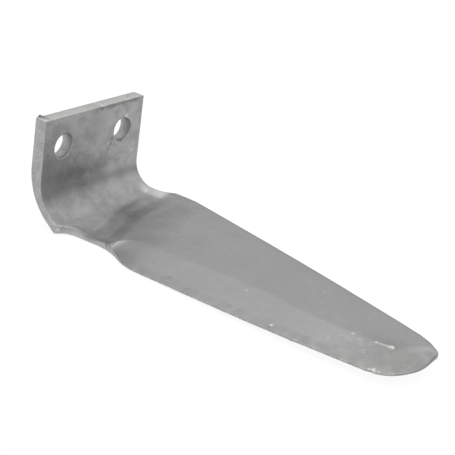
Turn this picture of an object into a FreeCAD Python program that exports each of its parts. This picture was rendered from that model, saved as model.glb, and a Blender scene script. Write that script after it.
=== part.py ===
# Harrow tine for a power harrow rotor: one forging with a bolted flange and a bevelled blade.
# The flange stands upright and the blade points along +X. The seat face is the plane X = 0, with
# the row of bolt holes along Y at Z = 0. The near edge of the blade is on the -Y side.
import FreeCAD, Part
from math import hypot, radians, tan
import os

# Flange, in millimetres
flange_width = 100.0
flange_thickness = 9.6
flange_rise = 21.5
hole_spacing = 60.0
hole_diameter = 17.0
hole_chamfer = 0.8

# Bend between the flange and the blade, at the near and the far side
inner_radius_near = 30.0
inner_radius_far = 17.0
outer_radius_near = 43.0
outer_radius_far = 27.0

# Blade, whose upper face leans up towards the tip and falls towards the near edge
blade_reach = 305.0
blade_drop = 47.4
blade_lean = 1.5
blade_twist = 4.9
root_thickness_near = 5.4
root_thickness_far = 9.5
tip_thickness_near = 5.4
tip_thickness_far = 4.6

# Outline of the near side, as lengths along the blade: a notch, a shoulder and the long cutting edge
notch_start = 25.5
notch_entry_length = 7.5
notch_floor_length = 31.5
notch_exit_length = 24.0
notch_depth = 12.4
notch_corner_radius = 12.0
notch_sweep_radius = 53.0
near_shoulder_radius = 50.0
near_shoulder_flare = 0.2
near_crown_length = 116.5
near_crown_flare = 3.8
near_crown_radius = 1500.0
near_tip_flare = 1.8

# Outline of the far side: a flare, a shoulder with a straight crown, and the tapering back
far_flare_start = 35.5
far_flare_length = 9.0
far_flare_radius = 18.0
far_flare = 4.6
far_shoulder_radius = 8.0
far_crown_length = 18.5
far_crown_radius = 60.0
far_taper = 12.8
far_bow_length = 127.0
far_bow_radius = 3000.0

# Tip
tip_corner = 42.0
tip_corner_radius = 3.0
tip_near_radius = 24.0
tip_far_radius = 12.0
tip_far_cut = 9.5
tip_far_angle = 40.8

# Facets ground off the upper face: the long bevel, whose rounded end stands in the notch, and the
# end of the tip. Each starts on a line drawn on the upper face.
bevel_lead = 21.5
bevel_end_radius = 12.0
bevel_width = 27.5
bevel_turn = -1.0
bevel_angle = 6.0
tip_facet_length = 20.0
tip_facet_turn = 49.0
tip_facet_angle = 9.0

# Rounding of the rims all round
rim_radius = 0.8

# Margin by which the blank and the cutting tools stand clear of what they trim
clear = 12.0
ridge_overlap = 1.0
flat_enough = 1e-6

# Share of a side that its two roundings leave straight
straight_share = 0.02

half_width = flange_width / 2
front = flange_thickness
ridge = -half_width + bevel_width
notch_floor_start = notch_start + notch_entry_length
notch_floor_end = notch_floor_start + notch_floor_length
near_shoulder = notch_floor_end + notch_exit_length
bevel_start = near_shoulder - bevel_lead
far_shoulder = far_flare_start + far_flare_length
far_crown_end = far_shoulder + far_crown_length


def at_width(near, far, y):
    """Value at Y = y of a size that runs evenly from the near side to the far side."""
    return near + (far - near) * (y + half_width) / flange_width


def blade_top(x, y):
    """Height of the blade's upper plane."""
    return -blade_drop + (x - front) * tan(radians(blade_lean)) + y * tan(radians(blade_twist))


def underside(x, y):
    """Height of the blade's underside, which closes in on the upper face towards the tip."""
    root = at_width(root_thickness_near, root_thickness_far, y)
    tip = at_width(tip_thickness_near, tip_thickness_far, y)
    return blade_top(x, y) - root - (tip - root) * (x - front) / (blade_reach - front)


def direction(start, end):
    """Unit vector from one corner to another."""
    length = hypot(end[0] - start[0], end[1] - start[1])
    return (end[0] - start[0]) / length, (end[1] - start[1]) / length


def rounding_lengths(corners):
    """Length that each corner's rounding takes off its two sides, no more than they have room for."""
    lengths = []
    rooms = []
    for i, corner in enumerate(corners):
        following = corners[(i + 1) % len(corners)]
        back = direction(corner, corners[i - 1])
        ahead = direction(corner, following)
        across = hypot(ahead[0] - back[0], ahead[1] - back[1])
        along = hypot(ahead[0] + back[0], ahead[1] + back[1])
        lengths.append(corner[2] * along / across)
        side = hypot(following[0] - corner[0], following[1] - corner[1])
        rooms.append(side * (1 - straight_share))
    fitted = []
    for i, length in enumerate(lengths):
        before = rooms[i - 1] / max(rooms[i - 1], lengths[i - 1] + length)
        after = rooms[i] / max(rooms[i], length + lengths[(i + 1) % len(corners)])
        fitted.append(length * min(before, after))
    return fitted


def rounded_edges(corners, lift):
    """Closed run of edges through corners of (u, v, radius), each corner rounded by a tangent arc."""
    starts = []
    middles = []
    ends = []
    for i, (corner, cut) in enumerate(zip(corners, rounding_lengths(corners))):
        u, v, _ = corner
        back = direction(corner, corners[i - 1])
        ahead = direction(corner, corners[(i + 1) % len(corners)])
        half_sine = hypot(ahead[0] - back[0], ahead[1] - back[1]) / 2
        half_cosine = hypot(ahead[0] + back[0], ahead[1] + back[1]) / 2
        reach = cut * (1 - half_sine) / (2 * half_cosine ** 2)
        starts.append((u + back[0] * cut, v + back[1] * cut))
        middles.append((u + (ahead[0] + back[0]) * reach, v + (ahead[1] + back[1]) * reach))
        ends.append((u + ahead[0] * cut, v + ahead[1] * cut))
    edges = []
    for i, corner in enumerate(corners):
        if corner[2] > 0:
            edges.append(Part.Arc(lift(*starts[i]), lift(*middles[i]), lift(*ends[i])).toShape())
        following = (i + 1) % len(corners)
        edges.append(Part.makeLine(lift(*ends[i]), lift(*starts[following])))
    return edges


def side_profile(y):
    """Side view of the blank at Y = y: edges round the flange, the bend and the blade."""
    end = blade_reach + clear
    corners = [
        (0, flange_rise, 0),
        (front, flange_rise, 0),
        (front, blade_top(front, y), at_width(inner_radius_near, inner_radius_far, y)),
        (end, blade_top(end, y), 0),
        (end, underside(end, y), 0),
        (0, underside(0, y), at_width(outer_radius_near, outer_radius_far, y)),
    ]
    return rounded_edges(corners, lambda x, z: FreeCAD.Vector(x, y, z))


def strip(near, far):
    """Face between an edge of the near side view and its fellow on the far one."""
    a = near.valueAt(near.FirstParameter)
    b = near.valueAt(near.LastParameter)
    c = far.valueAt(far.LastParameter)
    d = far.valueAt(far.FirstParameter)
    straight = near.Curve.TypeId == "Part::GeomLine"
    if straight and abs((b - a).cross(c - a).normalize().dot(d - a)) < flat_enough:
        return Part.Face(Part.makePolygon([a, b, c, d, a]))
    return Part.makeRuledSurface(near, far)


def blank():
    """Bent and twisted bar, ruled between the side views just outside its two edges."""
    near = side_profile(-half_width - clear)
    far = side_profile(half_width + clear)
    ends = [Part.Face(Part.Wire(near)), Part.Face(Part.Wire(far))]
    shell = Part.makeShell([strip(a, b) for a, b in zip(near, far)] + ends)
    shell.sewShape()
    solid = Part.makeSolid(shell)
    if solid.Volume < 0:
        solid.reverse()
    return solid


def plan_outline():
    """Outline of the tine from above, as a closed flat wire."""
    near = -half_width
    near_tip = near - near_tip_flare
    far_line = half_width + far_flare
    far_middle = far_line - far_bow_length * tan(radians(far_taper))
    tip_y = near_tip + tip_corner
    corners = [
        (-clear, near, 0),
        (notch_start, near, 0),
        (notch_floor_start, near + notch_depth, notch_corner_radius),
        (notch_floor_end, near + notch_depth, notch_sweep_radius),
        (near_shoulder, near - near_shoulder_flare, near_shoulder_radius),
        (near_shoulder + near_crown_length, near - near_crown_flare, near_crown_radius),
        (blade_reach, near_tip, tip_near_radius),
        (blade_reach, tip_y, tip_corner_radius),
        (blade_reach - tip_far_cut, tip_y + tip_far_cut * tan(radians(tip_far_angle)), tip_far_radius),
        (far_crown_end + far_bow_length, far_middle, far_bow_radius),
        (far_crown_end, far_line, far_crown_radius),
        (far_shoulder, far_line, far_shoulder_radius),
        (far_flare_start, half_width, far_flare_radius),
        (-clear, half_width, 0),
    ]
    return Part.Wire(rounded_edges(corners, lambda x, y: FreeCAD.Vector(x, y, 0)))


def upright_prism(outline):
    """Solid over a closed flat wire, from under the blade to over the flange."""
    low = -blade_drop - flange_width
    prism = Part.Face(outline).extrude(FreeCAD.Vector(0, 0, flange_rise + clear - low))
    prism.translate(FreeCAD.Vector(0, 0, low))
    return prism


def facet_cutter(x, y, turn, slope):
    """Block over a facet that leaves the blade's upper plane along the line through (x, y).

    The line runs towards the tip, turned by turn degrees from the X axis, and the facet falls away
    from the upper plane by slope degrees, to the right of the line.
    """
    size = 2 * blade_reach
    block = Part.makeBox(size, size + clear, size, FreeCAD.Vector(-blade_reach, -size, 0))
    block.rotate(FreeCAD.Vector(0, 0, 0), FreeCAD.Vector(1, 0, 0), slope)
    block.rotate(FreeCAD.Vector(0, 0, 0), FreeCAD.Vector(0, 0, 1), turn)
    block.rotate(FreeCAD.Vector(0, 0, 0), FreeCAD.Vector(1, 0, 0), blade_twist)
    block.rotate(FreeCAD.Vector(0, 0, 0), FreeCAD.Vector(0, 1, 0), -blade_lean)
    block.translate(FreeCAD.Vector(x, y, blade_top(x, y)))
    return block


def near_bevel():
    """Tool for the long bevel of the near edge, whose rounded end stands in the notch."""
    outside = -flange_width
    inside = ridge + ridge_overlap
    end = blade_reach + clear
    corners = [
        (bevel_start, outside, 0),
        (bevel_start, inside, bevel_end_radius),
        (end, inside, 0),
        (end, outside, 0),
    ]
    area = upright_prism(Part.Wire(rounded_edges(corners, lambda x, y: FreeCAD.Vector(x, y, 0))))
    return facet_cutter(bevel_start, ridge, bevel_turn, bevel_angle).common(area)


def hole_cutter(y):
    """Bolt hole through the flange, with a small chamfer at each rim."""
    radius = hole_diameter / 2
    rim = radius + hole_chamfer
    points = [
        FreeCAD.Vector(-clear, 0, 0),
        FreeCAD.Vector(-clear, 0, rim),
        FreeCAD.Vector(0, 0, rim),
        FreeCAD.Vector(hole_chamfer, 0, radius),
        FreeCAD.Vector(front - hole_chamfer, 0, radius),
        FreeCAD.Vector(front, 0, rim),
        FreeCAD.Vector(front + clear, 0, rim),
        FreeCAD.Vector(front + clear, 0, 0),
    ]
    face = Part.Face(Part.makePolygon(points + points[:1]))
    cutter = face.revolve(FreeCAD.Vector(0, 0, 0), FreeCAD.Vector(1, 0, 0), 360)
    cutter.translate(FreeCAD.Vector(0, y, 0))
    return cutter


def at_bar_edge(face):
    """True for the faces that end the bar: its two sides, the flange's top and the blade's tip."""
    u_low, u_high, v_low, v_high = face.ParameterRange
    normal = face.normalAt((u_low + u_high) / 2, (v_low + v_high) / 2)
    middle = face.CenterOfMass
    flange_face = middle.x < front + flat_enough and abs(normal.x) > 1 - flat_enough
    return middle.z > flange_rise - flat_enough or abs(normal.z) < flat_enough and not flange_face


def rounded_rims(body, side):
    """Body with the rims of its broad faces rounded.

    Side 1 takes the upper face of the blade and the front of the flange, and side -1 the under face
    and the back.
    """
    rims = []
    for edge in body.Edges:
        middle = edge.valueAt((edge.FirstParameter + edge.LastParameter) / 2)
        faces = body.ancestorsOfType(edge, Part.Face)
        broad = [face for face in faces if not at_bar_edge(face)]
        if len(broad) == 1:
            normal = broad[0].normalAt(*broad[0].Surface.parameter(middle))
            if side * (normal.x + normal.z) > flat_enough:
                rims.append(edge)
    return body.makeFillet(rim_radius, rims)


def harrow_tine():
    """The whole forging."""
    body = blank().common(upright_prism(plan_outline()))
    body = rounded_rims(rounded_rims(body, 1), -1)
    body = body.cut(near_bevel())
    tip_start = blade_reach - tip_facet_length
    body = body.cut(facet_cutter(tip_start, ridge, tip_facet_turn, tip_facet_angle))
    for side in (-1, 1):
        body = body.cut(hole_cutter(side * hole_spacing / 2))
    return body


os.makedirs("parts", exist_ok=True)
tine = harrow_tine()
print("volume", round(tine.Volume), "valid", tine.isValid(), "solids", len(tine.Solids))
tine.exportStep("parts/harrow_tine.step")
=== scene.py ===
# %% [markdown]
# # A forged harrow tine
#
# The tine is one steel forging in satin grey paint. A flat bar was heated, bent to an upright
# flange and a long blade, trimmed to its outline, ground along one edge and punched for two bolts.
# This lesson makes it in that order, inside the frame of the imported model, and then paints it,
# wears it and lights it.

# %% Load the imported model
from math import pi, radians, sin, sqrt, tan

import bmesh
import bpy
from mathutils import Euler, Matrix, Quaternion, Vector
from mathutils.bvhtree import BVHTree


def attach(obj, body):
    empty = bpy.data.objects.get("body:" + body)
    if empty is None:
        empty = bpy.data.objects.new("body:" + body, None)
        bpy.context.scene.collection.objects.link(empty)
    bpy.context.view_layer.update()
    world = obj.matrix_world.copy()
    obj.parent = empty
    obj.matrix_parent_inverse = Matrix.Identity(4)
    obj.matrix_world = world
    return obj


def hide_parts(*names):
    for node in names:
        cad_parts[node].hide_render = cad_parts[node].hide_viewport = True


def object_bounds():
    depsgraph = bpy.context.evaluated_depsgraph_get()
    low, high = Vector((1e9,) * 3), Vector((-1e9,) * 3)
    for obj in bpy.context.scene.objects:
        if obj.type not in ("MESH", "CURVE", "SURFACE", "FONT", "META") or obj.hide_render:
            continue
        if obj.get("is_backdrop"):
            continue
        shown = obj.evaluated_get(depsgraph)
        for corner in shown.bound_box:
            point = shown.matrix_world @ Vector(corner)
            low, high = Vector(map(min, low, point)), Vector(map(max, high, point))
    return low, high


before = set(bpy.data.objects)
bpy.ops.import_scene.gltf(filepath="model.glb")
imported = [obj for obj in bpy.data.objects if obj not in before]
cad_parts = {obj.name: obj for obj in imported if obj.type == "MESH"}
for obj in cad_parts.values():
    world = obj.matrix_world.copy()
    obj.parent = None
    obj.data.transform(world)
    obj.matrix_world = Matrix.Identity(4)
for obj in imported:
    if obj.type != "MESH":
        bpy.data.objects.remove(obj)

cad_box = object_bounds()
rounded_box = [tuple(round(value, 4) for value in corner) for corner in cad_box]
print("the tine's box in metres:", rounded_box)

# %% [markdown]
# ## The sizes of the forging
#
# The bar is modelled in millimetres, as a drawing gives it, and scaled to metres at the end. At one
# unit to the millimetre, the bevel and boolean tools also work far above their rounding errors.
# X runs from the flange's seat to the tip, Y along the bolt holes and Z up the flange. Sizes that
# differ between the two long edges are pairs: the near edge first, then the far one. The spare is
# the margin by which the bar and the cutting tools stand past what is trimmed.

# %% Sizes, in millimetres
mm = 0.001
flange_width = 100.0
flange_thickness = 9.6
flange_rise = 21.5
hole_spacing = 60.0
hole_radius = 8.5

inner_radius = (30.0, 17.0)
outer_radius = (43.0, 27.0)
root_thickness = (5.4, 9.5)
tip_thickness = (5.4, 4.6)

blade_reach = 305.0
blade_drop = 47.4
blade_lean = radians(1.5)
blade_twist = radians(4.9)

half_width = flange_width / 2
near_edge = -half_width
far_edge = half_width
spare = 12.0


def across(pair, y):
    """Value at Y = y of a size that runs evenly from the near edge to the far edge."""
    return pair[0] + (pair[1] - pair[0]) * (y + half_width) / flange_width


def upper_face(x, y):
    """Height of the blade's upper face, which leans up to the tip and falls to the near edge."""
    return -blade_drop + (x - flange_thickness) * tan(blade_lean) + y * tan(blade_twist)


def under_face(x, y):
    """Height of the blade's underside."""
    run = (x - flange_thickness) / (blade_reach - flange_thickness)
    root = across(root_thickness, y)
    return upper_face(x, y) - root - (across(tip_thickness, y) - root) * run


shoulder = (60, 45)
thickness = upper_face(*shoulder) - under_face(*shoulder)
print("thickness at the far shoulder, in mm:", round(thickness, 1))

# %% [markdown]
# ## A pen for outlines
#
# Every shape starts as an outline. A pen is one vertex: extruded, it leaves a straight line behind
# it, and spun about a centre, it leaves an arc. That draws the same outlines as a compass and a
# ruler, and each rounding is a true arc that meets its two lines smoothly.

# %% Draw lines and arcs with one vertex
touching = 0.001


def alone(piece):
    """Selects one object and makes it the active one."""
    bpy.ops.object.select_all(action="DESELECT")
    piece.select_set(True)
    bpy.context.view_layer.objects.active = piece


def pen_down(name, point):
    """Starts a new mesh as one vertex, and stays in edit mode."""
    bpy.ops.object.select_all(action="DESELECT")
    bpy.ops.mesh.primitive_plane_add(size=1, location=(0, 0, 0))
    piece = bpy.context.object
    piece.name = name
    bpy.ops.object.mode_set(mode="EDIT")
    bpy.ops.mesh.select_mode(type="VERT")
    bpy.ops.mesh.merge(type="CENTER")
    bpy.ops.transform.translate(value=point)
    return piece


def pen_line(start, end, steps=1):
    """Extrudes the pen's vertex from start to end."""
    for _ in range(steps):
        bpy.ops.mesh.extrude_region_move(TRANSFORM_OT_translate={"value": (end - start) / steps})


def rounding(before, corner, after, radius, normal):
    """Start, centre and signed angle of the arc that rounds a corner, seen along normal."""
    back = (before - corner).normalized()
    ahead = (after - corner).normalized()
    half = back.angle(ahead) / 2
    start = corner + back * radius / tan(half)
    centre = corner + (back + ahead).normalized() * radius / sin(half)
    side = 1 if normal.dot(back.cross(ahead)) < 0 else -1
    return start, centre, side * (pi - 2 * half)


def draw_closed(name, corners, normal, arc_steps, line_steps=1):
    """Draws a closed outline through corners of (point, radius), with its long lines in steps."""
    arcs = []
    for i, (corner, radius) in enumerate(corners):
        before = corners[i - 1][0]
        after = corners[(i + 1) % len(corners)][0]
        sharp = (corner, corner, 0)
        arcs.append(rounding(before, corner, after, radius, normal) if radius else sharp)
    ends = [centre + Quaternion(normal, turn) @ (start - centre) for start, centre, turn in arcs]
    piece = pen_down(name, ends[-1])
    for i, (start, centre, turn) in enumerate(arcs):
        long = (start - ends[i - 1]).length > 2 * flange_width
        pen_line(ends[i - 1], start, line_steps if long else 1)
        if turn:
            bpy.ops.mesh.spin(steps=arc_steps, angle=-turn, center=centre, axis=normal)
    bpy.ops.mesh.select_all(action="SELECT")
    bpy.ops.mesh.remove_doubles(threshold=touching)
    print(name, "has", len(bmesh.from_edit_mesh(piece.data).verts), "points")
    return piece


# %% [markdown]
# ## The bent bar
#
# On the real tine the bar is bent hot, tightly at its far edge and widely at its near edge, so the
# blade comes out twisted. Seen from the side, each edge is an L of two lines round an arc. Drawing
# the L just outside both edges and bridging the two gives every face of the bend at once, as clean
# strips that take the light smoothly.

# %% Draw both side views and bridge them
def side_view(name, y):
    """Side view of the bar at Y = y, as a closed outline."""
    end = blade_reach + spare
    corners = [
        (0, flange_rise, 0),
        (flange_thickness, flange_rise, 0),
        (flange_thickness, upper_face(flange_thickness, y), across(inner_radius, y)),
        (end, upper_face(end, y), 0),
        (end, under_face(end, y), 0),
        (0, under_face(0, y), across(outer_radius, y)),
    ]
    points = [(Vector((x, y, z)), radius) for x, z, radius in corners]
    outline = draw_closed(name, points, Vector((0, 1, 0)), arc_steps=24, line_steps=10)
    bpy.ops.object.mode_set(mode="OBJECT")
    return outline


def pick(piece, kind, wanted):
    """In edit mode, selects only the vertices, edges or faces for which wanted() is true."""
    bpy.ops.mesh.select_mode(type=kind)
    bpy.ops.mesh.select_all(action="DESELECT")
    mesh = bmesh.from_edit_mesh(piece.data)
    items = {"VERT": mesh.verts, "EDGE": mesh.edges, "FACE": mesh.faces}[kind]
    for item in items:
        if wanted(item):
            item.select_set(True)
    mesh.select_flush_mode()
    bmesh.update_edit_mesh(piece.data)


near_line = near_edge - spare
far_line = far_edge + spare
tine = side_view("near_side_view", near_line)
far_view = side_view("far_side_view", far_line)
alone(tine)
far_view.select_set(True)
bpy.ops.object.join()
bpy.ops.object.mode_set(mode="EDIT")
bpy.ops.mesh.select_all(action="SELECT")
bpy.ops.mesh.bridge_edge_loops(interpolation="LINEAR", number_cuts=5)
for line in (near_line, far_line):
    pick(tine, "VERT", lambda vertex: abs(vertex.co.y - line) < touching)
    bpy.ops.mesh.edge_face_add()
bpy.ops.mesh.select_all(action="SELECT")
bpy.ops.mesh.normals_make_consistent(inside=False)
bpy.ops.object.mode_set(mode="OBJECT")
tine.name = "painted_tine"
tine.data.name = "painted_tine"
print("the bent bar has", len(tine.data.polygons), "faces")

# %% [markdown]
# ## The outline
#
# The forging is trimmed to its outline while hot: a notch beside the near side of the bend, a
# shoulder on each side where the blade widens, a long taper and a rounded tip. Trimming is one cut
# through the whole bar, so the outline is drawn once from above, raised to a prism and used as a
# punch. Its corners carry their own radii. The exact Boolean returns its vertices in any order, so
# they are numbered by their place after each cut, and every run gives the same mesh but for
# rounding.

# %% Draw the outline from above and trim the bar with it
decimals = 4
outline_corners = [
    (-spare, near_edge, 0),
    (25.5, near_edge, 0),
    (33.0, near_edge + 12.4, 12.0),
    (64.5, near_edge + 12.4, 53.0),
    (88.5, near_edge - 0.2, 50.0),
    (205.0, near_edge - 3.8, 1500.0),
    (blade_reach, near_edge - 1.8, 24.0),
    (blade_reach, near_edge + 40.2, 3.0),
    (blade_reach - 9.5, near_edge + 48.4, 12.0),
    (190.0, 25.8, 3000.0),
    (63.0, far_edge + 4.6, 60.0),
    (44.5, far_edge + 4.6, 8.0),
    (35.5, far_edge, 18.0),
    (-spare, far_edge, 0),
]


def put_in_order(piece):
    """Numbers the vertices and faces of a piece by their place."""
    data = piece.data
    places = [tuple(round(value, decimals) for value in vertex.co) for vertex in data.vertices]
    order = sorted(range(len(places)), key=places.__getitem__)
    number = {old: new for new, old in enumerate(order)}
    faces = []
    for face in data.polygons:
        ring = [number[index] for index in face.vertices]
        first = ring.index(min(ring))
        faces.append(ring[first:] + ring[:first])
    data.clear_geometry()
    data.from_pydata(sorted(places), [], sorted(faces))


def apply_boolean(piece, tool, operation):
    """Combines the tool with the piece, and deletes the tool."""
    alone(piece)
    cut = piece.modifiers.new(tool.name, "BOOLEAN")
    cut.operation = operation
    cut.solver = "EXACT"
    cut.object = tool
    bpy.ops.object.modifier_apply(modifier=cut.name)
    bpy.data.objects.remove(tool, do_unlink=True)
    put_in_order(piece)


def raise_up(height):
    """Extrudes the selected faces straight up, closed and with normals outward."""
    bpy.ops.mesh.extrude_region_move(TRANSFORM_OT_translate={"value": (0, 0, height)})
    bpy.ops.mesh.select_all(action="SELECT")
    bpy.ops.mesh.normals_make_consistent(inside=False)
    bpy.ops.object.mode_set(mode="OBJECT")


below = -blade_drop - 3 * spare
points = [(Vector((x, y, below)), radius) for x, y, radius in outline_corners]
punch = draw_closed("outline_punch", points, Vector((0, 0, 1)), arc_steps=16)
bpy.ops.mesh.edge_face_add()
raise_up(flange_rise + spare - below)
faces = [face.vertices[:] for face in punch.data.polygons]
walls = BVHTree.FromPolygons([vertex.co[:] for vertex in punch.data.vertices], faces)
apply_boolean(tine, punch, "INTERSECT")
print("the trimmed tine has", len(tine.data.polygons), "faces")

# %% [markdown]
# ## The ground bevel
#
# A knife tine is ground along its leading edge. The grinding starts beside the bend with a crisp
# spoon-shaped end, and runs to the tip as a shallow facet that is a little wider in the middle.
# Two lines carry it: the ridge on the upper face, and the same line carried past the edge and
# lowered by the slope. Bridged and raised, they make the grinding wheel's path as one solid.

# %% Grind the bevel along the near edge
bevel_slope = tan(radians(6.0))
bevel_start = 67.0
spoon_radius = 12.0
spoon_steps = 16
overlap = 1.0
path_step = 6.0
ridge_points = [
    (67, -22.5), (100, -22.9), (135, -21.2), (160, -19.5), (185, -21.5),
    (215, -25.2), (250, -27.3), (285, -25.0), (320, -22.0),
]


def ridge(x):
    """Y of the bevel's ridge at X = x, as a smooth run between its points."""
    for (x0, y0), (x1, y1) in zip(ridge_points, ridge_points[1:]):
        if x <= x1:
            share = (x - x0) / (x1 - x0)
            share = share * share * (3 - 2 * share)
            return y0 + (y1 - y0) * share
    return ridge_points[-1][1]


def ground(x, y):
    """Point of the bevel at (x, y)."""
    fall = bevel_slope * (ridge(x) - y) * (ridge(bevel_start) - near_edge) / (ridge(x) - near_edge)
    return Vector((x, y, upper_face(x, y) - fall))


def draw_open(name, points):
    """Draws a line through points, and leaves edit mode."""
    piece = pen_down(name, points[0])
    for start, end in zip(points, points[1:]):
        pen_line(start, end)
    bpy.ops.object.mode_set(mode="OBJECT")
    return piece


inner_line = []
for step in range(spoon_steps + 1):
    turn = pi / 2 * step / spoon_steps
    x = bevel_start + spoon_radius * (1 - sin(pi / 2 - turn))
    y = ridge(bevel_start) + overlap - spoon_radius * (1 - sin(turn))
    inner_line.append(Vector((x, y, upper_face(x, y) + bevel_slope * overlap)))
while inner_line[-1].x < blade_reach + spare:
    x = inner_line[-1].x + path_step
    inner_line.append(ground(x, ridge(x) + overlap))
outer_line = [ground(point.x, near_line) for point in inner_line]
wheel = draw_open("grinding_path", inner_line)
outer = draw_open("grinding_path_edge", outer_line)
alone(wheel)
outer.select_set(True)
bpy.ops.object.join()
bpy.ops.object.mode_set(mode="EDIT")
bpy.ops.mesh.select_all(action="SELECT")
bpy.ops.mesh.bridge_edge_loops(interpolation="LINEAR")
bpy.ops.mesh.select_all(action="SELECT")
raise_up(2 * spare)
apply_boolean(tine, wheel, "DIFFERENCE")
print("the ground tine has", len(tine.data.polygons), "faces")

# %% [markdown]
# ## The tip facet and the bolt holes
#
# The end of the tip is ground once more, across the corner, so that it lies lower and catches more
# light. A block laid on that facet takes it off in one cut. The two holes are punched through the
# flange, with cylinders that run well past both faces.

# %% Grind the tip and punch the bolt holes
tip_start = Vector((285.0, -22.5, upper_face(285.0, -22.5)))
tip_turn = radians(49)
tip_slope = radians(9)
block_size = (200, 100, 60)
block_centre = (40, -50, 30)
hole_sides = 72


def add_block(name, size, centre):
    """A block of the given size round a centre, in edit mode and selected all over."""
    bpy.ops.object.select_all(action="DESELECT")
    bpy.ops.mesh.primitive_cube_add(size=1, location=(0, 0, 0))
    piece = bpy.context.object
    piece.name = name
    bpy.ops.object.mode_set(mode="EDIT")
    bpy.ops.transform.resize(value=size)
    bpy.ops.transform.translate(value=centre)
    return piece


tip_tilt = Euler((tip_slope, 0, tip_turn)).to_quaternion()
face_tilt = Euler((blade_twist, -blade_lean, 0)).to_quaternion()
block = add_block("tip_block", block_size, block_centre)
bpy.ops.object.mode_set(mode="OBJECT")
block.rotation_euler = (face_tilt @ tip_tilt).to_euler()
block.location = tip_start
bpy.ops.object.transform_apply(location=True, rotation=True, scale=True)
apply_boolean(tine, block, "DIFFERENCE")
for side in (-1, 1):
    bpy.ops.object.select_all(action="DESELECT")
    bpy.ops.mesh.primitive_cylinder_add(
        vertices=hole_sides, radius=hole_radius, depth=6 * spare,
        location=(flange_thickness / 2, side * hole_spacing / 2, 0), rotation=(0, pi / 2, 0))
    punch = bpy.context.object
    punch.name = "hole_punch"
    bpy.ops.object.transform_apply(location=True, rotation=True, scale=True)
    apply_boolean(tine, punch, "DIFFERENCE")
print("the punched tine has", len(tine.data.polygons), "faces")

# %% [markdown]
# ## Rounded rims
#
# No edge of a forging is sharp: dies and tumbling leave a rim of under a millimetre everywhere. One
# Bevel modifier rounds them all at once and joins them where they meet. It goes by the weights of
# the edges, because the spoon-shaped end of the bevel has to stay crisp, as the wheel left it.

# %% Round the rims by weight
rim = 0.7
rim_segments = 3
sharp_angle = radians(30)
shortest_edge = 0.2
spoon_start, spoon_end = -39, -20
spoon_depth = 3


def is_rim(edge):
    """True for the edges that get a rounding."""
    if edge.calc_face_angle(0) < sharp_angle:
        return False
    x, y, z = (edge.verts[0].co + edge.verts[1].co) / 2
    beside_spoon = abs(x - bevel_start - spoon_radius / 2) < spoon_radius
    in_spoon = beside_spoon and spoon_start < y < spoon_end
    return not (in_spoon and z > upper_face(x, y) - spoon_depth)


alone(tine)
bpy.ops.object.mode_set(mode="EDIT")
bpy.ops.mesh.select_all(action="SELECT")
bpy.ops.mesh.remove_doubles(threshold=shortest_edge)
pick(tine, "EDGE", is_rim)
bpy.ops.transform.edge_bevelweight(value=1)
bpy.ops.object.mode_set(mode="OBJECT")
rims = tine.modifiers.new("rims", "BEVEL")
rims.limit_method = "WEIGHT"
rims.width = rim
rims.segments = rim_segments
rims.use_clamp_overlap = False
bpy.ops.object.modifier_apply(modifier=rims.name)
print("with its rims the tine has", len(tine.data.polygons), "faces")

# %% [markdown]
# ## A grid to work on
#
# Big flat faces can't sag or ripple. Slicing the tine with evenly spaced planes leaves its shape
# exactly as it is and lays a grid of small faces over it. Bisect does this without disturbing the
# arcs and rims, which a subdivision surface would shrink.

# %% Slice the tine into small cells
cell = 1.6
first_slice = 1.37
flare_room = 6


def slice_along(axis, start, end):
    """Cuts the whole mesh with planes across an axis, one cell apart."""
    normal = Vector((0, 0, 0))
    normal[axis] = 1
    place = start + first_slice
    while place < end:
        bpy.ops.mesh.select_all(action="SELECT")
        bpy.ops.mesh.bisect(plane_co=normal * place, plane_no=normal)
        place += cell


bpy.ops.object.mode_set(mode="EDIT")
bpy.ops.mesh.select_mode(type="VERT")
slice_along(0, flange_thickness, blade_reach)
slice_along(1, near_edge - flare_room, far_edge + flare_room)
slice_along(2, -blade_drop, flange_rise)
bpy.ops.object.mode_set(mode="OBJECT")
print("on the grid the tine has", len(tine.data.polygons), "faces")

# %% [markdown]
# ## Worn ridges
#
# The wheel leaves sharp ridges on the upper side, and soil and paint make them round. Smoothing
# only the vertices beside a ridge rounds it as wear does, and the faces around it stay flat. The
# ridges are found by height: beside one, the two lowest of the three surfaces that make the upper
# side are almost level.

# %% Soften the ridges
ridge_depth = 0.35
ridge_softening = 6
ridge_margin = 4
facing_up = 0.5
tip_normal = face_tilt @ tip_tilt @ Vector((0, 0, 1))


def upper_surfaces(x, y):
    """Heights of the upper face, the bevel and the tip facet at (x, y)."""
    away = Vector((x, y)) - tip_start.xy
    tip_height = tip_start.z - tip_normal.xy.dot(away) / tip_normal.z
    return upper_face(x, y), ground(x, y).z, tip_height


def beside_ridge(vertex):
    """True beside the ridges of the bevel and the tip facet."""
    x, y, _ = vertex.co
    start = bevel_start + spoon_radius
    if x < start or y < near_edge + ridge_margin or vertex.normal.z < facing_up:
        return False
    low, middle, _ = sorted(upper_surfaces(x, y))
    return middle - low < ridge_depth


alone(tine)
bpy.ops.object.mode_set(mode="EDIT")
pick(tine, "VERT", beside_ridge)
bpy.ops.mesh.vertices_smooth(factor=0.5, repeat=ridge_softening)
bpy.ops.object.mode_set(mode="OBJECT")
print("vertices beside the ridges:", sum(vertex.select for vertex in tine.data.vertices))

# %% [markdown]
# ## Rolled edges
#
# The long edges are rolled over: widely along the ground edge, which ends thin, and hardly at the
# far one. A Displace modifier moves the steel straight down, by the weight of each vertex. The
# weight grows with the height above the underside, so the whole edge is squeezed thinner and its
# underside stays where it is. Each row of the two tables gives, for one X, the share of the
# thickness that the edge loses and how far in the roll reaches. A pair such as side_change is a
# range over which a share runs from 0 to 1.

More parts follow.
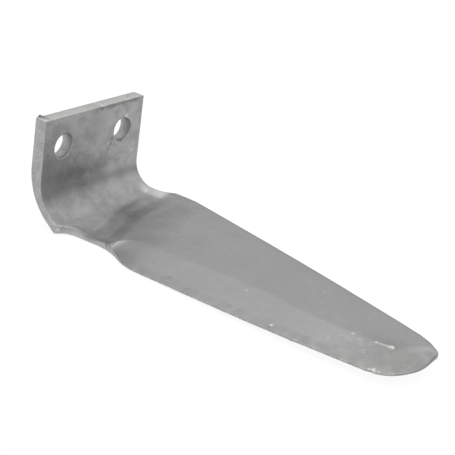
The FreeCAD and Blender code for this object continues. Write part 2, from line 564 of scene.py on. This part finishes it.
# %% Roll the edges over
mid_height = -30.0
blunt = 1.3
roll_start = 50
side_change = (-26, -9)
near_roll = ((80, 0, 9), (100, 1, 9), (blade_reach, 1, 8))
far_roll = ((46, 0, 2.2), (60, 0.05, 2.2), (270, 0.08, 2.4), (blade_reach, 0.2, 2.4))


def clip(value):
    """Keeps a value between 0 and 1."""
    return min(max(value, 0), 1)


def ease(value, start, end):
    """Runs smoothly from 0 at start to 1 at end."""
    share = clip((value - start) / (end - start))
    return share * share * (3 - 2 * share)


def between(table, x):
    """Reads the other columns of a table at x, straight between its rows."""
    for row, following in zip(table, table[1:]):
        if x <= following[0]:
            share = clip((x - row[0]) / (following[0] - row[0]))
            return [a + (b - a) * share for a, b in zip(row[1:], following[1:])]
    return table[-1][1:]


def top(x, y):
    """Height of the ground blade's upper side."""
    face, bevel, tip = upper_surfaces(x, y)
    return min(face, tip, bevel if y < ridge(x) and x > bevel_start else face)


def edge_roll(vertex):
    """Drop of the rolled edge at a vertex, as a share of the flange's thickness."""
    x, y, z = vertex.co
    if x < roll_start:
        return 0
    spot, _, _, distance = walls.find_nearest((x, y, mid_height))
    is_far = ease(spot.y, *side_change)
    near, far = between(near_roll, spot.x), between(far_roll, spot.x)
    share, width = (a + (b - a) * is_far for a, b in zip(near, far))
    height = clip((z - under_face(x, y)) / (top(x, y) - under_face(x, y)))
    drop = share * (top(spot.x, spot.y) - under_face(spot.x, spot.y) - blunt)
    return height * drop / flange_thickness * max(0, 1 - distance / width) ** 2


def weigh(name, share_of):
    """Gives every vertex its share, as a vertex group."""
    group = tine.vertex_groups.new(name=name)
    for vertex in tine.data.vertices:
        group.add([vertex.index], share_of(vertex), "REPLACE")


def press_down(name, depth, share_of):
    """Moves the steel down by depth times the share of each vertex."""
    weigh(name, share_of)
    press = tine.modifiers.new(name, "DISPLACE")
    press.direction = "Z"
    press.mid_level = 0
    press.strength = -depth
    press.vertex_group = name
    alone(tine)
    bpy.ops.object.modifier_apply(modifier=press.name)


press_down("rolled_edges", flange_thickness, edge_roll)
print("the ground edge is left with, in mm:", blunt)

# %% [markdown]
# ## The pressed neck
#
# Behind the bend the die presses the bar a little hollow. The hollow ends in a ramp up to the blade,
# which runs askew, and in a lip under the far edge. It is shallow, but a satin surface mirrors so
# much of its surroundings that both show clearly: the ramp dark, the lip bright, and the paint adds
# painted shade on the ramp and a painted highlight on the lip. Each row of the plan gives, for one Y,
# the X where the hollow starts, where it is full and where its ramp lies, and its share of the depth.

# %% Press the neck
neck_depth = 1.9
press_plan = (
    (near_edge, 26, 50, 60, 0.6),
    (-26, 30, 50, 59, 1.3),
    (-8, 26, 44, 52, 1.3),
    (8, 16, 36, 47, 1.1),
    (far_edge, 13, 28, 45, 1.0),
)
ramp_half = 8.0
lip = (41, 49.8)


def bar_heights(x, y):
    """Heights of the bent bar's underside and upper side at (x, y), with the arcs of the bend."""
    inner = across(inner_radius, y)
    outer = across(outer_radius, y)
    low = under_face(x, y)
    high = upper_face(x, y)
    if x < outer:
        low += outer - sqrt(outer ** 2 - (outer - x) ** 2)
    if x < flange_thickness + inner:
        high += inner - sqrt(inner ** 2 - (flange_thickness + inner - x) ** 2)
    return low, high


def neck_press(vertex):
    """Share of the neck's depth at a vertex."""
    x, y, z = vertex.co
    start, full, ramp, share = between(press_plan, y)
    if not start < x < ramp + ramp_half:
        return 0
    low, high = bar_heights(x, y)
    along = ease(x, start, full) * (1 - ease(x, ramp - ramp_half, ramp + ramp_half))
    return clip((z - low) / (high - low)) * along * share * (1 - ease(y, *lip))


press_down("pressed_neck", neck_depth, neck_press)
print("the deepest press, in mm:", neck_depth)

# %% [markdown]
# ## Forging skin and knocks
#
# Hammered steel is never quite flat, and a tine is knocked about before it is sold. A Displace
# modifier with a cloud texture gives the skin swells of a tenth of a millimetre or so, except on
# the seat and in the bolt holes, which have to fit. Each knock is one vertex that is dragged, with
# its neighbours following less and less: that is proportional editing. A knock is listed by its
# place, its move and its reach.

# %% Swell the skin and add the knocks
skin_swell = 0.35
skin_size = 16.0
skin_detail = 2
off_seat = (0.2, 3)
blade_start = (60, 90)
flange_front = 12
hole_margin = 0.5
blade_calm = 0.4
knocks = [
    ((226.5, -53.4, -50.9), (0, -0.6, 0), 4),
    ((284.2, -52.0, -48.0), (0, 0.8, 0.2), 3),
    ((9.6, 6.0, 21.5), (-0.6, 0, -0.7), 3),
    ((9.6, 31.0, 21.5), (-0.5, 0, -0.5), 4),
    ((0.4, -46.0, 21.5), (0, 0, 1.6), 3),
    ((25.0, -50.0, -54.0), (0.4, 0, -1.1), 7),
    ((296.0, -2.0, -43.0), (0, -1.7, 0), 12),
    ((302.0, -7.0, -43.0), (0, 0.4, 0), 8),
    ((304.4, -9.4, -43.7), (0.1, 0.4, 0), 10),
    ((304.7, -24.0, -45.0), (1.0, 0, 0), 14),
    ((300.0, -40.0, -46.0), (-0.5, 0, 0), 12),
]
holes = [Vector((side * hole_spacing / 2, 0)) for side in (-1, 1)]


def is_loose(vertex):
    """Share of the skin's swell at a vertex: none on the seat, and little beside the holes."""
    x, y, z = vertex.co
    away = min((Vector((y, z)) - hole).length for hole in holes)
    off_hole = ease(away, hole_radius + hole_margin, 2 * hole_radius) if x < flange_front else 1
    return ease(x, *off_seat) * off_hole * (1 - blade_calm * ease(x, *blade_start))


swells = bpy.data.textures.new("swells", "CLOUDS")
swells.noise_scale = skin_size
swells.noise_depth = skin_detail
weigh("skin", is_loose)
skin = tine.modifiers.new("skin", "DISPLACE")
skin.texture = swells
skin.strength = skin_swell
skin.vertex_group = "skin"
alone(tine)
bpy.ops.object.modifier_apply(modifier=skin.name)
bpy.ops.object.mode_set(mode="EDIT")
for place, move, reach in knocks:
    mesh = bmesh.from_edit_mesh(tine.data)
    nearest = min(mesh.verts, key=lambda vertex: (vertex.co - Vector(place)).length)
    pick(tine, "VERT", lambda vertex: vertex == nearest)
    bpy.ops.transform.translate(
        value=move, use_proportional_edit=True, proportional_edit_falloff="SMOOTH",
        proportional_size=reach)
bpy.ops.object.mode_set(mode="OBJECT")
tine.vertex_groups.clear()
print("knocks:", len(knocks))

# %% [markdown]
# ## Where the wear and the painted shade go
#
# Wear and painted shade follow the shape, so they are worked out once from the mesh and kept on it as
# attributes, which the paint reads later. Sheared faces are pale, the strip along the ground edge is
# darker, and painted shade lies on the tip. The ranges are of places, of distances and of how far a
# face turns.

# %% Keep the sheared and the darker places
facing = (0.5, 0.9)
facing_a_little = (0.1, 0.5)
top_rim = flange_rise - 2
pale_walls = 0.15
strip_width = (3, 10)
strip_growth = (180, 230)
strip_side = -12
strip_least = 0.6
tip_length = (242, 288)
tip_side = (-24, -12)
tip_darkening = 0.85


def keep(name, share_of):
    """Stores a share per vertex as an attribute."""
    layer = tine.data.attributes.new(name, "FLOAT", "POINT")
    layer.data.foreach_set("value", [share_of(vertex) for vertex in tine.data.vertices])


def is_sheared(vertex):
    """Share of the pale sheared faces: the flange's top and the walls all round."""
    if vertex.co.z > top_rim:
        return ease(vertex.normal.z, *facing)
    return pale_walls * ease(abs(vertex.normal.y), *facing) * (1 - ease(vertex.co.x, *blade_start))


def is_darkened(vertex):
    """Share of the darker strip along the ground edge, and of the painted shade on the tip."""
    x, y, z = vertex.co
    if x < bevel_start:
        return 0
    spot, _, _, distance = walls.find_nearest((x, y, mid_height))
    strength = strip_least + (1 - strip_least) * ease(x, *strip_growth)
    strip = (1 - ease(distance, *strip_width)) * strength
    tip = tip_darkening * ease(x, *tip_length) * (1 - ease(y, *tip_side))
    return max(strip if spot.y < strip_side else 0, tip) * ease(vertex.normal.z, *facing_a_little)


keep("sheared", is_sheared)
keep("darkened", is_darkened)
print("attributes:", [layer.name for layer in tine.data.attributes if layer.data_type == "FLOAT"])

# %% [markdown]
# ## Darker burr, painted shade, painted highlight and worn rims
#
# The burr is darker, and painted shade lies under the flange's front rim and along the walls of the
# notch. A painted highlight brightens the lip under the far edge, and the rims are rubbed bright. A
# rim is found by the angle between the faces that meet there, which a BMesh of the tine tells.

# %% Keep the darker burr, the painted shade, the painted highlight and the worn places
burr_height = (flange_rise + 0.1, flange_rise + 0.5)
burr_reach = 4
front_start, front_end = (-10, 10), (42, 48)
notch_start, notch_end, notch_reach = 28, 68, 14
lip_start, lip_end, lip_rim = (17, 36), (38, 44), (41, 45)
worn_angle = (radians(8), radians(24))
tip_end = (292, 300)


def is_dark_burr_and_painted_shade(vertex):
    """Share of the darkening: the darker burr, and painted shade under the flange's front rim and
    along the notch.
    """
    x, y, z = vertex.co
    if z > flange_rise - 1 and x < burr_reach:
        return ease(z, *burr_height)
    if z > top_rim and x > flange_thickness - 1:
        along = ease(y, *front_start) * (1 - ease(y, *front_end))
        return 0.5 * ease(vertex.normal.x, 0.3, 0.8) * along
    if notch_start < x < notch_end and y < near_edge + notch_reach:
        return ease(-vertex.normal.y, 0.3, 0.6) * ease(vertex.normal.z, 0.05, 0.25)
    return 0


def is_painted_lip_highlight(vertex):
    """Share of the painted highlight on the lip under the far edge of the neck."""
    x, y, _ = vertex.co
    along = ease(x, *lip_start) * (1 - ease(x, *lip_end))
    return along * ease(y, *lip_rim) * ease(vertex.normal.z, 0.3, 0.7)


bends = bmesh.new()
bends.from_mesh(tine.data)
bends.verts.ensure_lookup_table()


def is_worn(vertex):
    """Share of the rubbed rims, from the sharpest edge at the vertex."""
    sharpest = max(edge.calc_face_angle(0) for edge in bends.verts[vertex.index].link_edges)
    return ease(sharpest, *worn_angle) * (1 - ease(vertex.co.x, *tip_end))


keep("dark_burr_and_painted_shade", is_dark_burr_and_painted_shade)
keep("painted_lip_highlight", is_painted_lip_highlight)
keep("worn", is_worn)
bends.free()
print("attributes:", [layer.name for layer in tine.data.attributes if layer.data_type == "FLOAT"])

# %% [markdown]
# ## Into the frame
#
# The finished forging is scaled from millimetres to metres, and the scale is applied, so that the
# object stands unturned and unscaled at the origin of the frame. It then takes the place of the
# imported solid, rides on its body and wears its paint.

# %% Scale to metres and take the solid's place
alone(tine)
tine.scale = (mm, mm, mm)
bpy.ops.object.transform_apply(location=False, rotation=False, scale=True)
bpy.ops.object.shade_smooth()
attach(tine, "root")
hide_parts("harrow_tine")
print("the tine measures, in metres:", [round(size, 4) for size in tine.dimensions])

# %% [markdown]
# ## The paint
#
# The coat is a thin satin grey with metal flakes in it, so it shades as metal does: it mirrors the
# blade, the floor and the sky softly. A metallic Principled shader gives that. First come helpers
# that add nodes and feed them, and then the cloudy tone of a coat that was sprayed by hand. Noise
# lies mostly between 0.3 and 0.7, so each mask stretches the part that it needs to the range from
# 0 to 1.

# %% Start the paint with a cloudy tone
paint = bpy.data.materials.new("satin_grey_paint")
paint.use_nodes = True
tree = paint.node_tree
shader = tree.nodes["Principled BSDF"]
shader.inputs["Metallic"].default_value = 1.0


def node(kind, inputs, **settings):
    """Adds a shader node with its settings, and feeds its inputs with sockets or plain values."""
    new = tree.nodes.new("ShaderNode" + kind)
    for name, value in settings.items():
        setattr(new, name, value)
    for name, value in inputs.items():
        if isinstance(value, bpy.types.NodeSocket):
            tree.links.new(value, new.inputs[name])
        else:
            new.inputs[name].default_value = value
    return new


def noise(size, detail=2.0, warp=0.0, place=None):
    """Noise with features of about the given size in millimetres."""
    inputs = {"Vector": place or spot, "Scale": 1 / (size * mm)}
    inputs.update({"Detail": detail, "Distortion": warp})
    return node("TexNoise", inputs).outputs["Fac"]


def shift(value, low, high, bottom=0.0, peak=1.0):
    """Stretches the range from low to high so that it runs from bottom to peak."""
    inputs = {"Value": value, "From Min": low, "From Max": high, "To Min": bottom, "To Max": peak}
    return node("MapRange", inputs).outputs["Result"]


def times(first, second):
    """Multiplies two values."""
    return node("Math", {0: first, 1: second}, operation="MULTIPLY").outputs[0]


def coat(share, under, over):
    """Lays one colour over another by a share from 0 to 1."""
    return node("Mix", {0: share, 6: under, 7: over}, data_type="RGBA").outputs[2]


spot = node("TexCoord", {}).outputs["Object"]
clouds = shift(noise(38.0, detail=3.0), 0.35, 0.65)
mottle = shift(noise(4.5, detail=4.0), 0.32, 0.68)
colour = coat(clouds, (0.366, 0.365, 0.372, 1), (0.388, 0.387, 0.392, 1))
colour = coat(times(mottle, 0.5), colour, (0.343, 0.343, 0.349, 1))
print("nodes in the cloudy tone:", len(tree.nodes))

# %% [markdown]
# ## Layers of wear, painted shade and painted highlight
#
# Each layer is a colour and a mask. The masks come from the attributes of the mesh, broken up by
# noise, so that no layer ends in a clean line. Drawn-out noise gives the fine lines that something
# scraped into the middle of the flange.

# %% Lay the wear, the painted shade and the painted highlight over the tone
scraped_place = (9.6 * mm, 6 * mm, 8 * mm)


def wear(name):
    """Reads one of the tine's attributes."""
    return node("Attribute", {}, attribute_name=name).outputs["Fac"]


crumbs = noise(1.6, detail=3.0, warp=0.4)
patches = noise(7.0, detail=4.0)
along_x = node("SeparateXYZ", {0: spot}).outputs["X"]
coarse = shift(along_x, 50 * mm, 85 * mm, 1.0, 0.15)
stretched = node("VectorMath", {0: spot, 1: (1, 1, 0.06)}, operation="MULTIPLY").outputs[0]
lines = shift(noise(0.9, place=stretched), 0.56, 0.68)
middle = node("VectorMath", {0: spot, 1: scraped_place}, operation="DISTANCE")
scraped = shift(middle.outputs["Value"], 14 * mm, 5 * mm)
sheared = wear("sheared")
darkened = times(wear("darkened"), shift(patches, 0.35, 0.6, 0.65, 1.0))
rubbed = times(wear("worn"), shift(crumbs, 0.46, 0.58))
burr_and_shade_mask = times(wear("dark_burr_and_painted_shade"), shift(crumbs, 0.30, 0.52, 0.5, 1.0))
blotches = times(shift(patches, 0.45, 0.62), times(coarse, 0.35))
colour = coat(blotches, colour, (0.23, 0.233, 0.238, 1))
colour = coat(times(times(lines, scraped), 0.3), colour, (0.2, 0.2, 0.2, 1))
# A darker strip along the ground edge, and painted shade on the tip.
colour = coat(darkened, colour, (0.275, 0.276, 0.268, 1))
pale = times(sheared, shift(crumbs, 0.3, 0.6, 0.75, 1.0))
colour = coat(pale, colour, (0.55, 0.55, 0.535, 1))
# Painted highlight on the lip under the far edge of the neck.
colour = coat(times(wear("painted_lip_highlight"), 0.8), colour, (0.70, 0.70, 0.685, 1))
colour = coat(times(rubbed, 0.6), colour, (0.60, 0.60, 0.58, 1))
# The burr painted darker, and painted shade under the flange's front rim and along the notch.
colour = coat(burr_and_shade_mask, colour, (0.13, 0.13, 0.127, 1))
print("nodes with the wear:", len(tree.nodes))

# %% [markdown]
# ## Where the spots are
#
# Chips of the coat show bright metal, knocks leave dark marks, and dark spots fleck the flange and
# the near edge. Painted shade darkens the walls of the bolt holes. Pale scuffs lie by the tip, and
# painted shade, mottled like scale, lies in the bend and on the ramp of the neck. Wide patches of
# painted light and painted shade lie on the flange, in the bend and in the neck. Each spot is a place
# on the tine with a radius. The patches are so soft that even a radius below zero leaves a faint
# spot.

# %% List the spots, in millimetres
chips = [
    (281.4, -25.8, -42.5, 1.9), (278.6, -26.1, -42.6, 1.0), (276.9, -26.3, -42.7, 0.8),
    (275.2, -26.4, -42.7, 0.7), (273.4, -26.6, -42.8, 0.7), (271.2, -26.8, -42.9, 0.9),
    (208.5, -49.1, -49.0, 1.1),
]
specks = [
    (97.1, -50.4, -53.0, 0.8), (26.8, -47.9, -50.5, 1.3), (209.0, 5.5, -41.7, 0.7),
    (244.9, -39.8, -46.2, 0.6), (254.4, -27.2, -43.5, 1.2), (261.1, -30.3, -43.9, 0.6),
    (271.2, -40.3, -45.5, 0.6), (171.6, -26.3, -45.6, 0.9), (85.0, 2.5, -45.2, 0.5),
    (95.2, -0.3, -45.2, 0.6), (9.6, 42.5, -17.7, 0.8), (9.6, 16.5, -7.7, 1.0),
    (282.1, -2.7, -40.5, 0.5), (9.6, 32.8, 9.8, 1.6),
    (285.7, -50.2, -48.1, 1.6), (283.2, -51.0, -48.0, 0.8), (289.0, -49.8, -47.9, 0.7),
]
marks_and_hole_shade = [
    (122.8, -44.9, -50.6, 1.5), (140.5, -48.1, -50.7, 1.3), (174.4, -47.7, -49.7, 1.0),
    (182.7, -47.2, -49.3, 0.8), (254.0, -45.1, -46.9, 1.1), (296.1, -30.0, -44.6, 0.8),
    (5.0, 38.3, 1.0, 4.0), (5.0, 37.0, 5.0, 3.0), (6.0, -21.6, 0.5, 3.0),
]
dark_spots = [
    (208.5, -50.8, -49.2, 0.9), (9.6, 19.5, -4.5, 1.1), (9.6, 18.7, -8.5, 1.0),
    (9.6, 22.7, -9.8, 0.9), (9.6, 6.0, 19.8, 1.2), (5.5, 36.0, 21.5, 0.8), (3.0, 40.0, 21.5, 0.7),
    (9.6, 17.0, -11.5, 0.7), (9.6, -45.0, -4.0, 0.8), (9.6, 25.5, -11.5, 0.6),
]
scuffs = [
    (256, -30, -44, 6), (268, -36, -45, 7), (248, -35, -45, 4), (171, -26, -45, 3),
]
bend_and_ramp_shade = [
    (10.5, -32, -25, 5), (10.5, -22, -25, 7), (10.5, -10, -25, 6), (10.5, 0, -24, 3),
    (10.5, 8, -24, 4), (45, 11, -46, 6), (45, 21, -45, 5), (45, 31, -44, 3),
]
painted_light_patches = [
    (38, -19, -48, 13), (36, -4, -47, 6), (58, -31, -49, 9), (50, -8, -47, 5), (29, -20, -47, 6),
    (13, 41, -35, 7), (13, 21, -35, 7), (12, 9, -34, 5), (12, -19, -33, 3), (10, 33, -27, 1),
    (10, 38, -20, -1), (36, -39, -54, 5),
]
painted_shade_patches = [
    (10, -13, -27, 8), (10, 8, -27, 7), (10, 0, 11, 8), (10, -28, 8, 5), (83, -47, -54, 9),
    (66, 6, -45, 14), (62, 20, -44, 12), (64, 32, -43, 9), (80, -14, -47, 9),
]
print("chips:", len(chips), "marks:", len(marks_and_hole_shade), "dents:", len(dark_spots), "specks:", len(specks))

# %% [markdown]
# ## Ragged spots
#
# No chip is round. So the distance to a spot's place is measured from a point that fine noise has
# pushed about, and the edge of the spot comes out ragged. The deepest spot at a point counts, which
# lets one mask hold a whole list.

# %% Make masks of the spots
crumble_size = 1.1
crumble_reach = 3.0
centred = (0.5, 0.5, 0.5)
fine = {"Vector": spot, "Scale": 1 / (crumble_size * mm), "Detail": 2.0}
push = node("TexNoise", fine).outputs["Color"]
push = node("VectorMath", {0: push, 1: centred}, operation="SUBTRACT").outputs[0]
push = node("VectorMath", {0: push, "Scale": crumble_reach * mm}, operation="SCALE").outputs[0]
ragged = node("VectorMath", {0: spot, 1: push}, operation="ADD").outputs[0]


def spots(places, softness):
    """Mask of ragged round spots at places of (x, y, z, radius) in millimetres."""
    deepest = -1.0
    for x, y, z, radius in places:
        middle = (x * mm, y * mm, z * mm)
        away = node("VectorMath", {0: ragged, 1: middle}, operation="DISTANCE").outputs["Value"]
        depth = node("Math", {0: radius * mm, 1: away}, operation="SUBTRACT").outputs[0]
        deepest = node("Math", {0: depth, 1: deepest}, operation="MAXIMUM").outputs[0]
    return shift(deepest, -softness * mm, softness * mm)


print("the spots' edges are pushed about by, in mm:", crumble_reach / 2)

# %% [markdown]
# ## Patches, marks and chips
#
# The wide soft patches come first and the bright chips last, because a chip goes through all that
# was laid before it. A scatter of flecks from a cell pattern, some bright and some dark, covers the
# places that no list names. Each layer is a mask, its strength and its colour, from the lowest up.

# %% Lay the spots over the coat
fleck_spacing = 7.0
speckle = node("TexVoronoi", {"Vector": ragged, "Scale": 1 / (fleck_spacing * mm)})
pick_cell = node("SeparateColor", {0: speckle.outputs["Color"]}).outputs[0]
bright_cell = shift(pick_cell, 0.80, 0.86)
dark_cell = shift(pick_cell, 0.16, 0.10)
fleck = shift(speckle.outputs["Distance"], 0.13, 0.05)
bright = times(spots(chips, 0.5), shift(crumbs, 0.36, 0.50, 0.25, 1.0))
# Painted shade in the bend and on the ramp of the neck, mottled like scale.
scale = times(spots(bend_and_ramp_shade, 5.0), shift(crumbs, 0.40, 0.60, 0.35, 1.0))
scuffed = times(spots(scuffs, 4.0), shift(mottle, 0.5, 0.9))
layers = [
    # Painted light and painted shade, in wide patches on the flange, in the bend and in the neck.
    (spots(painted_light_patches, 7.0), 0.8, (0.50, 0.50, 0.505, 1)),
    (spots(painted_shade_patches, 7.0), 0.6, (0.26, 0.26, 0.264, 1)),
    (scale, 0.45, (0.15, 0.152, 0.155, 1)),
    # Dark marks from knocks, and painted shade on the walls of the bolt holes.
    (spots(marks_and_hole_shade, 1.3), 0.35, (0.15, 0.15, 0.145, 1)),
    (spots(dark_spots, 0.6), 0.6, (0.13, 0.13, 0.128, 1)),
    (spots(specks, 0.5), 0.45, (0.72, 0.72, 0.70, 1)),
    (scuffed, 0.25, (0.55, 0.55, 0.535, 1)),
    (times(fleck, dark_cell), 0.35, (0.18, 0.18, 0.175, 1)),
    (times(fleck, bright_cell), 0.35, (0.62, 0.62, 0.60, 1)),
]
for mask, strength, tone in layers:
    colour = coat(times(mask, strength), colour, tone)
colour = coat(bright, colour, (0.74, 0.735, 0.71, 1))
tree.links.new(colour, shader.inputs["Base Color"])
print("layers:", len(layers), "nodes with them:", len(tree.nodes))

# %% [markdown]
# ## Sheen and grain
#
# The coat is satin: rougher where it is sheared, smoother on the lip with the painted highlight, and
# a little uneven everywhere. Under it lies the scale of the hot steel, a fine grain with pits that is
# coarse on the flange and in the neck and almost rubbed away on the blade. It goes into the bump, and
# so do the chips, which lie lower than the coat.

# %% Set the sheen and the grain, and paint the tine
bump_depth = 0.07
sheen = shift(patches, 0.3, 0.7, 0.40, 0.48)
sheen = node("Math", {0: times(sheared, 0.14), 1: sheen}, operation="ADD").outputs[0]
sheen = node("Math", {0: sheen, 1: times(wear("painted_lip_highlight"), 0.1)}, operation="SUBTRACT").outputs[0]
tree.links.new(sheen, shader.inputs["Roughness"])
grain = times(noise(2.6, detail=4.0), coarse)
pits = times(shift(noise(4.2, detail=3.0), 0.30, 0.45), coarse)
relief = node("Math", {0: grain, 1: pits}, operation="ADD").outputs[0]
relief = node("Math", {0: relief, 1: times(bright, 2.0)}, operation="SUBTRACT").outputs[0]
bump = node("Bump", {"Height": relief, "Distance": bump_depth * mm, "Strength": 1.0})
tree.links.new(bump.outputs["Normal"], shader.inputs["Normal"])
tine.data.materials.clear()
tine.data.materials.append(paint)
print("nodes in the paint:", len(tree.nodes))

# %% [markdown]
# ## The floor
#
# The tine lies on white paper, so the floor is a plain plane at the lowest point of the blade. To
# the camera and in the metal's reflections it glows almost white, which the Light Path node
# arranges, and it still takes the soft shadow where the tine touches it.

# %% Lay the floor
floor_size = 8.0
paper_grey = (0.10, 0.10, 0.10, 1)
paper_glow = 0.91
lowest = min(vertex.co.z for vertex in tine.data.vertices)
bpy.ops.object.select_all(action="DESELECT")
bpy.ops.mesh.primitive_plane_add(size=floor_size, location=(0, 0, lowest))
floor = bpy.context.object
floor.name = "floor"
white = bpy.data.materials.new("white_paper")
white.use_nodes = True
tree = white.node_tree
paper = tree.nodes["Principled BSDF"]
paper.inputs["Base Color"].default_value = paper_grey
paper.inputs["Roughness"].default_value = 1.0
paper.inputs["Emission Color"].default_value = (1, 1, 1, 1)
rays = node("LightPath", {}).outputs
seen = rays["Is Camera Ray"]
for kind in ("Is Glossy Ray", "Is Transmission Ray"):
    seen = node("Math", {0: seen, 1: rays[kind]}, operation="MAXIMUM").outputs[0]
tree.links.new(times(seen, paper_glow), paper.inputs["Emission Strength"])
floor.data.materials.append(white)
floor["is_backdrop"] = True
print("the floor lies at, in mm:", round(lowest / mm, 1))

# %% [markdown]
# ## The light
#
# Metal is lit by what it mirrors. The sky is an even white, broken by two dark screens that stand low
# behind the tine, to its left and right, as photographers place them: they draw the dark band in the
# bend and the dark patch on the ramp of the neck, and painted shade in the coat deepens both. One
# large lamp above gives the soft shadow and lifts the faces that are turned up.

# %% Build the sky with its screens, and hang the lamp
world = bpy.context.scene.world or bpy.data.worlds.new("studio")
bpy.context.scene.world = world
world.use_nodes = True
tree = world.node_tree
direction = node("SeparateXYZ", {0: node("TexCoord", {}).outputs["Generated"]}).outputs
low_level, high_level = 0.05, 0.9
screen_levels = ((0.1, 0.10), (0.2, 0.28), (0.38, 0.82), (0.6, 0.88))
lamp_energy = 6
lamp_size = 1.4
lamp_place = (0.2, -0.1, 1.0)
screens = node("ValToRGB", {"Fac": direction["Z"]})
ramp = screens.color_ramp
for element, level in zip(ramp.elements, (low_level, high_level)):
    element.color = (level, level, level, 1)
for place, level in screen_levels:
    ramp.elements.new(place).color = (level, level, level, 1)
aside = node("Math", {0: direction["X"]}, operation="ABSOLUTE").outputs[0]
behind = times(shift(direction["Y"], 0.0, 0.5), shift(aside, 0.15, 0.42))
sky = coat(behind, (0.8, 0.8, 0.8, 1), screens.outputs["Color"])
tree.links.new(sky, tree.nodes["Background"].inputs["Color"])
lamp_data = bpy.data.lights.new("overhead_lamp", "AREA")
lamp_data.energy = lamp_energy
lamp_data.size = lamp_size
lamp = bpy.data.objects.new("overhead_lamp", lamp_data)
lamp.location = lamp_place
bpy.context.collection.objects.link(lamp)
print("sky levels:", screen_levels)

# %% [markdown]
# ## The camera
#
# The camera stands where the photograph was taken from, which was worked out from the flange's
# corners and the bolt holes: a little above the tine, in front of its near edge, with a long lens.

# %% Place the camera
sight = Vector((-0.5332559, 0.7559095, -0.3797880))
right = Vector((0.7796906, 0.6133513, 0.1260267))
eye = Vector((770.0278, -905.1850, 430.8932))
picture = 455
focal_length = 1830
sensor = 36
half_pixel = 0.5 / picture
camera_data = bpy.data.cameras.new("photo_camera")
camera_data.sensor_width = sensor
camera_data.lens = sensor * focal_length / picture
camera_data.shift_x = -half_pixel
camera_data.shift_y = half_pixel
camera = bpy.data.objects.new("photo_camera", camera_data)
camera.matrix_world = Matrix((right, right.cross(sight), -sight)).transposed().to_4x4()
camera.location = eye * mm
bpy.context.collection.objects.link(camera)
bpy.context.scene.camera = camera
bpy.context.scene.view_settings.view_transform = "Standard"
print("lens, in mm:", round(camera_data.lens, 1))

# %% [markdown]
# ## The size of the finished tine
#
# The finished tine has to keep the size of the imported model, so both boxes are printed.

# %% Print both boxes
boxes = [[[float(value) for value in corner] for corner in box] for box in (cad_box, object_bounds())]
for label, (low, high) in zip(("packed model", "finished tine"), boxes):
    print(label, "measures, in mm:", [round((b - a) / mm, 1) for a, b in zip(low, high)])
